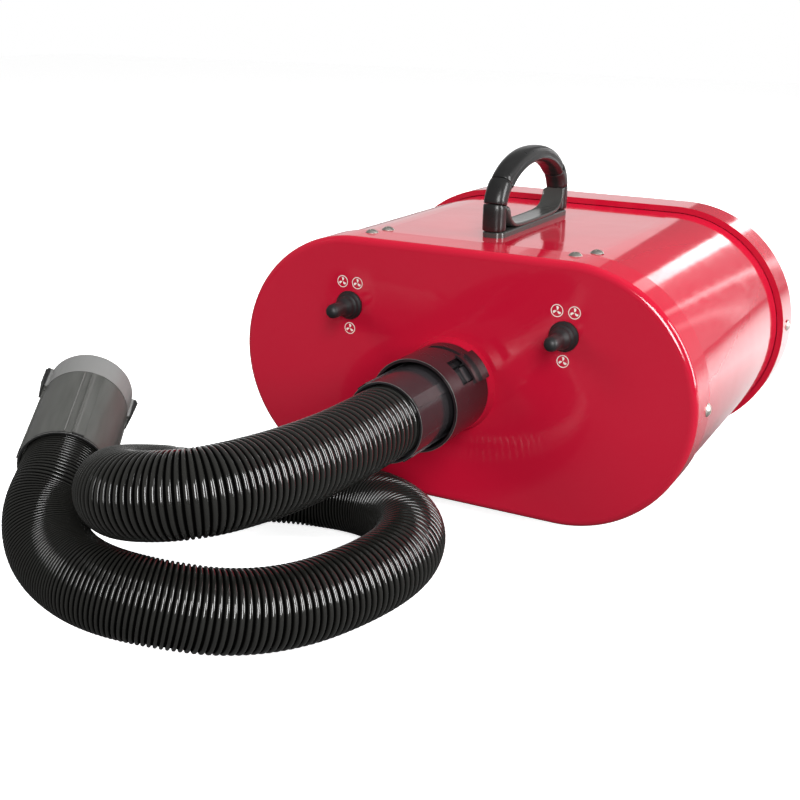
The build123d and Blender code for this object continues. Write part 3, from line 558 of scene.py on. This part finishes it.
def add_blade(mesh, x, z, middle):
    """One fan blade whose middle is at an angle in degrees."""
    turns = [(r * MM, radians(middle + t)) for r, t in BLADE]
    add_outline(mesh, [(x + r * cos(t), z + r * sin(t)) for r, t in turns])


def make_signs(side, x):
    """Printed fan signs: two above the switch, one below."""
    mesh = bmesh.new()
    for dx, dz in SIGN_SPOTS:
        cx, cz = x + dx * MM, SWITCH_Z + dz * MM
        add_ring(mesh, cx, cz, SIGN_RADIUS, SIGN_RADIUS - SIGN_LINE)
        for blade in range(3):
            add_blade(mesh, cx, cz, 90 + 120 * blade)
    data = bpy.data.meshes.new(f"{side}_fan_signs")
    mesh.to_mesh(data)
    data.materials.append(FINISH["white_plastic"])
    signs = bpy.data.objects.new(f"{side}_fan_signs", data)
    bpy.context.scene.collection.objects.link(signs)
    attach(signs, "housing")


for switch_side, switch_x in (("left", -SWITCH_X), ("right", SWITCH_X)):
    make_boot(switch_side, switch_x)
    make_signs(switch_side, switch_x)


# ---------------------------------------------------------------- handle
# Sizes in millimetres, except for the place of the handle.
HANDLE_PLACE = Vector((0, 4.0 * MM, low_high("handle_base")[0].z))
BOW_HALF = 59.5
BOW_TOP = 52.0
BOW_SPRING = 18.0
BOW_POINTS = 40
# A moulding of the bow has a section about every so many degrees, and at least so many runs.
BOW_STEP = 4
BOW_RUNS = 3
# Half sizes of the bow's section at its springs, and how much thinner and wider it is at the top.
BOW_DEEP, BOW_THINNER = 7.5, 1.6
BOW_WIDE, BOW_WIDER = 8.0, 0.8
# An exponent of 1 gives an oval section, and a smaller one a squarer section.
BOW_SQUARENESS = 0.82
# The grip is narrower above this height in its section, and wider below, which makes a shelf.
SHELF_HEIGHT, GRIP_NARROW, SHELF_WIDE = -0.25, 0.93, 1.10
# Rounded end of a moulding: degrees from its end, how much smaller its section is there.
BOW_ENDS = [(0.0, 0.8), (0.2, 0.3), (0.7, 0.05)]
# Name, first and last turn in degrees, the CAD node it stands for, whether it has the shelf.
BOW_PIECES = [
    ("front_leg_cover", -13.5, 7.0, "handle_legs", False),
    ("rear_leg_cover", 173.0, 193.5, "handle_legs", False),
    ("front_bow_cover", 7.6, 32.0, "handle_bow", False),
    ("grip_cover", 32.6, 147.4, "handle_grip_pads", True),
    ("rear_bow_cover", 148.0, 172.4, "handle_bow", False),
]
# Half of the tray's line from the top of a leg to its middle, as (along, height), and its section.
TRAY_HALF = [(52.5, 22.0), (51.5, 16.0), (49.0, 12.0), (44.0, 8.0), (36.0, 6.0), (20.0, 5.4)]
TRAY_SIDE = [(8.4, -2.4), (8.8, -0.6), (8.5, 0.9), (7.7, 1.1), (7.1, 0.3)]


def bow_place(turn):
    """Middle line of the bow: a turn of 0 is the front spring point and 180 the rear one."""
    if turn < 0:
        return Vector((0, -BOW_HALF, BOW_SPRING + turn)), Vector((0, 0, 1))
    if turn > 180:
        return Vector((0, BOW_HALF, BOW_SPRING - (turn - 180))), Vector((0, 0, -1))
    angle = radians(turn)
    rise = BOW_TOP - BOW_SPRING
    place = Vector((0, -BOW_HALF * cos(angle), BOW_SPRING + rise * sin(angle)))
    return place, Vector((0, BOW_HALF * sin(angle), rise * cos(angle))).normalized()


def squared(value):
    """Cosine or sine of a point round the section, pushed out towards a square."""
    return abs(value) ** BOW_SQUARENESS * (1 if value > 0 else -1)


def bow_section(turn, shrink, stepped):
    """Rounded section of the bow. A stepped one has the grip's shelf along its lower side."""
    place, along = bow_place(turn)
    outward = Vector((0, -along.z, along.y))
    level = 1 - min(1.0, abs(turn - 90) / 90)
    deep = BOW_DEEP - BOW_THINNER * level - shrink
    wide = BOW_WIDE + BOW_WIDER * level - shrink
    ring = []
    for k in range(BOW_POINTS):
        angle = 2 * pi * k / BOW_POINTS
        across = squared(cos(angle))
        up = squared(sin(angle))
        width = 1.0
        if stepped:
            width = GRIP_NARROW if up > SHELF_HEIGHT else SHELF_WIDE
        point = place + Vector((across * wide * width, 0, 0)) + outward * up * deep
        ring.append(point * MM + HANDLE_PLACE)
    return ring


def skin(rings, size):
    """Faces of a closed skin over rings of points, with a cap at each end."""
    faces = []
    for r in range(rings - 1):
        for k in range(size):
            a, b = r * size + k, r * size + (k + 1) % size
            faces.append((a, a + size, b + size, b))
    faces.append(tuple(range(size)))
    faces.append(tuple(range((rings - 1) * size, rings * size))[::-1])
    return faces


def bow_piece(name, first, last, node, stepped):
    """One moulding of the bow with rounded ends, so that a seam shows between it and the next."""
    stations = [(first + step, shrink) for step, shrink in BOW_ENDS]
    count = max(BOW_RUNS, int((last - first) / BOW_STEP))
    stations += [(first + (last - first) * k / count, 0.0) for k in range(1, count)]
    stations += [(last - step, shrink) for step, shrink in reversed(BOW_ENDS)]
    points = []
    for turn, shrink in stations:
        points += bow_section(turn, shrink, stepped)
    piece = add_mesh(name, points, skin(len(stations), BOW_POINTS), "handle_gloss")
    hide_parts(node)


def make_tray():
    """Glossy tray under the hand that runs up both legs, with a raised rim."""
    path = [(-y, z) for y, z in TRAY_HALF] + TRAY_HALF[::-1]
    section = [(-across, up) for across, up in TRAY_SIDE] + TRAY_SIDE[::-1]
    points = []
    for k, (y, z) in enumerate(path):
        before, after = path[max(0, k - 1)], path[min(len(path) - 1, k + 1)]
        along = Vector((0, after[0] - before[0], after[1] - before[1])).normalized()
        outward = Vector((0, -along.z, along.y))
        for across, up in section:
            points.append((Vector((across, y, z)) + outward * up) * MM + HANDLE_PLACE)
    tray = add_mesh("handle_tray", points, skin(len(path), len(section)), "grey_gloss")
    smooth = tray.modifiers.new("smooth", "SUBSURF")
    smooth.levels = smooth.render_levels = 2


make_tray()
for bow_row in BOW_PIECES:
    bow_piece(*bow_row)


# ---------------------------------------------------------------- painted highlight on the cuff and collar edges
BEAD_RADIUS = 0.17 * MM
BEAD_SIDES = 8


def edge_bead(name, centre, axis, radius, body):
    """The rounded, glossy edge of a moulding, in a lighter grey that is a painted highlight."""
    turns = [2 * pi * k / BEAD_SIDES for k in range(BEAD_SIDES)]
    profile = [(radius + BEAD_RADIUS * cos(turn), BEAD_RADIUS * sin(turn)) for turn in turns]
    turned(name, profile, centre, axis, "painted_highlight_edge", body=body, around=96, closed=True)


# Lighter grey than the black plastic: a painted highlight along the edges, over a real gloss.
FINISH["painted_highlight_edge"] = moulded("painted_highlight_edge", (0.12, 0.12, 0.115), 0.15)
OUTLET = Vector((0, FRONT_Y, OUTLET_Z))
OUTLET_AXIS = Vector((0, 1, 0))
COLLAR_MOUTH = OUTLET + Vector((0, COLLAR_LOW.y - FRONT_Y, 0))
NEAR_RIM = OUTLET + Vector((0, CUFF_BACK - FRONT_Y, 0))
COLLAR_MOUTH_RADIUS = 31.2 * MM
CUFF_RADIUS = 26.2 * MM
edge_bead("collar_mouth_edge", COLLAR_MOUTH, OUTLET_AXIS, COLLAR_MOUTH_RADIUS, "housing")
edge_bead("near_cuff_edge", NEAR_RIM, OUTLET_AXIS, CUFF_RADIUS, "hose_cuff")
edge_bead("far_cuff_edge", FAR_RIM, FAR_AXIS, CUFF_RADIUS, "housing")


# A mould line: half width at its top, how far it stands out, how far its foot is sunk in the cuff.
SEAM_HALF = 0.22 * MM
SEAM_RISE = 0.16 * MM
SEAM_SUNK = 0.2 * MM
SEAM_START = 1.5 * MM
FAR_SEAM_END = 64 * MM
FAR_SEAM_RADIUS = 26.9 * MM
FAR_SEAM_ANGLES = (25, 98, 112, 205)
NEAR_SEAM_END = 38 * MM
NEAR_SEAM_RADIUS = 26.3 * MM
NEAR_SEAM_ANGLES = (13, 72, 193)


def cuff_side(axis):
    """Level and upright directions across a cuff, the way its angles are counted."""
    level = Vector((0, 0, 1)).cross(axis).normalized()
    return level, axis.cross(level)


def mould_line(name, foot, axis, angle, end, radius, material, body):
    """A thin raised seam along a cuff, from near its rim to an end, at an angle round it."""
    level, upright = cuff_side(axis)
    outward = cos(radians(angle)) * level + sin(radians(angle)) * upright
    aside = axis.cross(outward)
    foot_half = 2 * SEAM_HALF
    corners = [
        (-foot_half, -SEAM_SUNK), (-SEAM_HALF, SEAM_RISE), (SEAM_HALF, SEAM_RISE), (foot_half, -SEAM_SUNK),
    ]
    points = []
    for along in (SEAM_START, end):
        for across, up in corners:
            points.append(Vector(foot) + axis * along + outward * (radius + up) + aside * across)
    faces = [(0, 1, 2, 3), (7, 6, 5, 4), (0, 4, 5, 1), (1, 5, 6, 2), (2, 6, 7, 3), (3, 7, 4, 0)]
    add_mesh(name, points, faces, material, smooth=False, body=body)


# The far cuff's mould lines take the lighter grey of the painted edge highlight.
for seam in FAR_SEAM_ANGLES:
    mould_line(
        f"far_cuff_seam_{seam}", FAR_RIM, FAR_AXIS, seam, FAR_SEAM_END, FAR_SEAM_RADIUS, "painted_highlight_edge",
        "housing",
    )
for seam in NEAR_SEAM_ANGLES:
    mould_line(
        f"near_cuff_seam_{seam}", NEAR_RIM, OUTLET_AXIS, seam, NEAR_SEAM_END, NEAR_SEAM_RADIUS,
        "cuff_plastic", "hose_cuff",
    )

# Where the far cuff's colour changes: along it from its rim to the pale mouth, which is painted light, and
# past the black rim of the hose's recess, and out from its axis to the black latch lugs. Each is a start
# and an end.
MOUTH_FADE = (0.0652, 0.0660)
RECESS_FADE = (0.0010, 0.0014)
LUG_FADE = (0.0274, 0.0280)


def lit_cuff():
    """Far cuff plastic painted with light: a grey body, a pale mouth, and black lugs and rim.

    The grey and the pale mouth are painted light, standing in for brighter light on this cuff. The black
    of the lugs and of the rim of the hose's recess is the cuff's own colour. The shades are painted by
    place along and across the cuff, and not made by the scene's lights.
    """
    s = Shader("painted_light_cuff", (0.07, 0.07, 0.066), 0.4, Specular_IOR_Level=0.3)
    rotation = FAR_AXIS.to_track_quat("Z", "Y").to_euler()
    turn = s.nodes.new("ShaderNodeMapping")
    turn.vector_type = "TEXTURE"
    turn.inputs["Location"].default_value = FAR_RIM
    turn.inputs["Rotation"].default_value = rotation
    s.links.new(s.place(), turn.inputs["Vector"])
    along = turn.outputs["Vector"]
    flat = s.stretch(along, (1.0, 1.0, 0.0))
    reach = s.nodes.new("ShaderNodeVectorMath")
    reach.operation = "LENGTH"
    s.links.new(flat, reach.inputs[0])
    streaks = s.noise(s.stretch(along, (1.0, 1.0, 0.15)), 160.0, 6.0, 0.65)
    # Painted light: the grey, and the pale mouth below, stand in for brighter light on the black cuff
    # plastic.
    grey = s.tint(s.spread(streaks, 0.0, 1.0), (0.055, 0.056, 0.052), (0.085, 0.086, 0.081))
    parts = s.nodes.new("ShaderNodeSeparateXYZ")
    s.links.new(along, parts.inputs["Vector"])
    mouth = s.tint(s.spread(parts.outputs["Z"], 0.0, 1.0, *MOUTH_FADE), (0, 0, 0), (1, 1, 1))
    pale = s.nodes.new("ShaderNodeMix")
    pale.data_type = "RGBA"
    s.links.new(mouth, pale.inputs["Factor"])
    s.links.new(grey, pale.inputs["A"])
    pale.inputs["B"].default_value = (0.17, 0.17, 0.167, 1.0)
    black = s.nodes.new("ShaderNodeMix")
    black.data_type = "RGBA"
    dark = s.nodes.new("ShaderNodeMath")
    dark.operation = "MAXIMUM"
    s.links.new(s.spread(reach.outputs["Value"], 0.0, 1.0, *LUG_FADE), dark.inputs[0])
    s.links.new(s.spread(parts.outputs["Z"], 1.0, 0.0, *RECESS_FADE), dark.inputs[1])
    s.links.new(dark.outputs["Value"], black.inputs["Factor"])
    s.links.new(pale.outputs["Result"], black.inputs["A"])
    black.inputs["B"].default_value = (0.015, 0.015, 0.015, 1.0)
    s.feed(black.outputs["Result"], "Base Color")
    s.feed(s.spread(streaks, 0.32, 0.5), "Roughness")
    s.feed(s.relief(streaks, 0.1, 0.00002), "Normal")
    return s.material


# The far cuff gets the painted light. The near cuff is the same moulding and keeps the black cuff plastic.
NODES["far_cuff"].data.materials[0] = lit_cuff()


# ---------------------------------------------------------------- floor, backdrop and light
FLOOR_WHITE = (0.9, 0.9, 0.9)
FLOOR_SHADE = (0.10, 0.10, 0.10)
FLOOR_HALF = 6.0
FLOOR_GLOW = 0.80
# The floor's reflected shade goes from dark to white between these places in Y.
FLOOR_FADE = (0.0, 0.5)
ROOM_GLOW = 0.16
BACKDROP_GLOW = 4.0
# Directions of the backdrop: X over Y from its left to its right end, how it fades in to the back, and
# how it fades out above.
BACKDROP_SPAN = (-0.6, 0.4)
BACKDROP_DEPTH = (0.3, 0.6)
BACKDROP_TOP = (0.32, 0.42)
# Bright panels and gaps behind the object, from left to right: place along the wall, brightness.
BACKDROP_BANDS = [
    (0.00, 0.15), (0.375, 0.15), (0.385, 0.00), (0.600, 0.01), (0.615, 1.00), (0.680, 0.85), (0.70, 0.10),
    (0.83, 0.03), (0.845, 0.60), (0.865, 0.02), (0.90, 0.05), (0.915, 0.30), (0.93, 0.05), (1.00, 0.10),
]


def make_floor():
    """White to the camera. To every other ray it is darker in front of the object than behind it."""
    data = bpy.data.meshes.new("floor")
    corners = [(x * FLOOR_HALF, y * FLOOR_HALF, 0) for x, y in ((-1, -1), (1, -1), (1, 1), (-1, 1))]
    data.from_pydata(corners, [], [(0, 1, 2, 3)])
    floor = bpy.data.objects.new("floor", data)
    bpy.context.scene.collection.objects.link(floor)
    s = Shader("pale_floor", FLOOR_WHITE, 0.8, Specular_IOR_Level=0.1)
    grain = s.noise(s.place(), 30.0, 3.0)
    s.feed(s.tint(grain, FLOOR_WHITE, tuple(c * 0.99 for c in FLOOR_WHITE)), "Base Color")
    glow = s.nodes.new("ShaderNodeEmission")
    glow.inputs["Strength"].default_value = FLOOR_GLOW
    bright = s.nodes.new("ShaderNodeAddShader")
    s.links.new(s.shader.outputs["BSDF"], bright.inputs[0])
    s.links.new(glow.outputs["Emission"], bright.inputs[1])
    away = s.nodes.new("ShaderNodeSeparateXYZ")
    s.links.new(s.place(), away.inputs["Vector"])
    shade = s.nodes.new("ShaderNodeBsdfDiffuse")
    farther = s.spread(away.outputs["Y"], 0.0, 1.0, *FLOOR_FADE)
    s.links.new(s.tint(farther, FLOOR_SHADE, FLOOR_WHITE), shade.inputs["Color"])
    rays = s.nodes.new("ShaderNodeLightPath")
    choose = s.nodes.new("ShaderNodeMixShader")
    s.links.new(rays.outputs["Is Camera Ray"], choose.inputs["Fac"])
    s.links.new(shade.outputs["BSDF"], choose.inputs[1])
    s.links.new(bright.outputs["Shader"], choose.inputs[2])
    s.links.new(choose.outputs["Shader"], s.nodes["Material Output"].inputs["Surface"])
    data.materials.append(s.material)


def area_light(name, place, target, size, power, mirrored=True):
    data = bpy.data.lights.new(name, "AREA")
    data.shape = "RECTANGLE"
    data.size, data.size_y = size
    data.energy = power
    light = bpy.data.objects.new(name, data)
    light.location = place
    light.rotation_euler = (Vector(target) - Vector(place)).to_track_quat("-Z", "Y").to_euler()
    light.visible_camera = False
    light.visible_glossy = mirrored
    bpy.context.scene.collection.objects.link(light)


def make_world():
    """White to the camera. To every other ray, a dim room with bright panels behind the object."""
    world = bpy.data.worlds.new("studio")
    world.use_nodes = True
    nodes, links = world.node_tree.nodes, world.node_tree.links
    white = nodes["Background"]
    white.inputs["Color"].default_value = (1, 1, 1, 1)
    place = nodes.new("ShaderNodeTexCoord")
    parts = nodes.new("ShaderNodeSeparateXYZ")
    links.new(place.outputs["Generated"], parts.inputs["Vector"])

    def compute(kind, first, second):
        node = nodes.new("ShaderNodeMath")
        node.operation = kind
        for socket, value in zip(node.inputs, (first, second)):
            if isinstance(value, float):
                socket.default_value = value
            else:
                links.new(value, socket)
        return node.outputs["Value"]

    def fade(value, start, end, low, high):
        node = nodes.new("ShaderNodeMapRange")
        links.new(value, node.inputs["Value"])
        for key, number in (("From Min", start), ("From Max", end), ("To Min", low), ("To Max", high)):
            node.inputs[key].default_value = number
        return node.outputs["Result"]

    across = compute("DIVIDE", parts.outputs["X"], parts.outputs["Y"])
    ramp = nodes.new("ShaderNodeValToRGB")
    ramp.color_ramp.elements.remove(ramp.color_ramp.elements[1])
    for position, value in BACKDROP_BANDS:
        stop = ramp.color_ramp.elements.new(position)
        stop.color = (value, value, value, 1.0)
    ramp.color_ramp.elements.remove(ramp.color_ramp.elements[0])
    links.new(fade(across, *BACKDROP_SPAN, 0.0, 1.0), ramp.inputs["Fac"])
    to_the_back = fade(parts.outputs["Y"], *BACKDROP_DEPTH, 0.0, 1.0)
    below_its_top = fade(parts.outputs["Z"], *BACKDROP_TOP, 1.0, 0.0)
    behind = compute("MULTIPLY", to_the_back, below_its_top)
    panels = compute("MULTIPLY", compute("MULTIPLY", ramp.outputs["Color"], BACKDROP_GLOW), behind)
    room = nodes.new("ShaderNodeBackground")
    room.inputs["Color"].default_value = (1, 1, 1, 1)
    links.new(compute("ADD", panels, ROOM_GLOW), room.inputs["Strength"])
    rays = nodes.new("ShaderNodeLightPath")
    choose = nodes.new("ShaderNodeMixShader")
    links.new(rays.outputs["Is Camera Ray"], choose.inputs["Fac"])
    links.new(room.outputs["Background"], choose.inputs[1])
    links.new(white.outputs["Background"], choose.inputs[2])
    links.new(choose.outputs["Shader"], nodes["World Output"].inputs["Surface"])
    bpy.context.scene.world = world


make_floor()
make_world()
area_light("camera_window", (1.15, -1.9, 1.1), (0, -0.1, 0.1), (0.7, 1.4), 52)
area_light("top_panel", (0.1, 0.2, 1.7), (0, 0, 0.1), (1.3, 1.0), 16, mirrored=False)
area_light("right_panel", (1.6, 0.2, 0.7), (0, 0, 0.1), (0.5, 1.2), 26)
area_light("left_panel", (-1.1, -0.9, 0.9), (-0.1, -0.35, 0.1), (0.3, 0.8), 8, mirrored=False)
area_light("back_panel", (-0.3, 1.7, 1.4), (0, 0.15, 0.1), (0.8, 0.6), 22, mirrored=False)

bpy.context.scene.view_settings.view_transform = "Standard"
